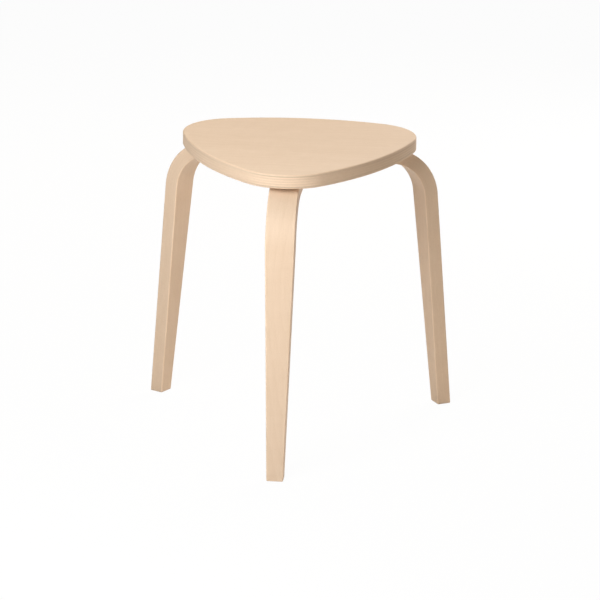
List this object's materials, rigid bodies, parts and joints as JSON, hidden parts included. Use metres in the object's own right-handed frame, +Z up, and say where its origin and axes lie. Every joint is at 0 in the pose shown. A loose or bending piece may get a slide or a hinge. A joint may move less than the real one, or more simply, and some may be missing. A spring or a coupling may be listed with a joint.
{
  "type": "stacking stool",
  "caption": "Stacking stool: a rounded-triangle seat of glued birch veneer on bent, splayed and tapered legs that are bolted up into its corners.",
  "frame": {"origin": "on the floor, under the middle of the bounding box; the seat's middle, where the three legs' planes cross, lies 58.9 mm behind it along +Y", "axes": "+Z up, -Y towards the front leg, +X to the right for a person who looks at the front leg from in front of it"},
  "size_m": [0.479, 0.4228, 0.45],
  "materials": {
    "birch_seat": "clear satin lacquer",
    "birch_leg": "clear satin lacquer",
    "zinc_plated_steel": "bright zinc plating"
  },
  "bodies": {
    "root": {"seat": "birch_seat", "leg_front": "birch_leg", "leg_front_bolt_inner": "zinc_plated_steel", "leg_front_washer_inner": "zinc_plated_steel", "leg_front_insert_inner": "zinc_plated_steel", "leg_front_bolt_outer": "zinc_plated_steel", "leg_front_washer_outer": "zinc_plated_steel", "leg_front_insert_outer": "zinc_plated_steel", "leg_right": "birch_leg", "leg_right_bolt_inner": "zinc_plated_steel", "leg_right_washer_inner": "zinc_plated_steel", "leg_right_insert_inner": "zinc_plated_steel", "leg_right_bolt_outer": "zinc_plated_steel", "leg_right_washer_outer": "zinc_plated_steel", "leg_right_insert_outer": "zinc_plated_steel", "leg_left": "birch_leg", "leg_left_bolt_inner": "zinc_plated_steel", "leg_left_washer_inner": "zinc_plated_steel", "leg_left_insert_inner": "zinc_plated_steel", "leg_left_bolt_outer": "zinc_plated_steel", "leg_left_washer_outer": "zinc_plated_steel", "leg_left_insert_outer": "zinc_plated_steel"}
  },
  "joints": []
}
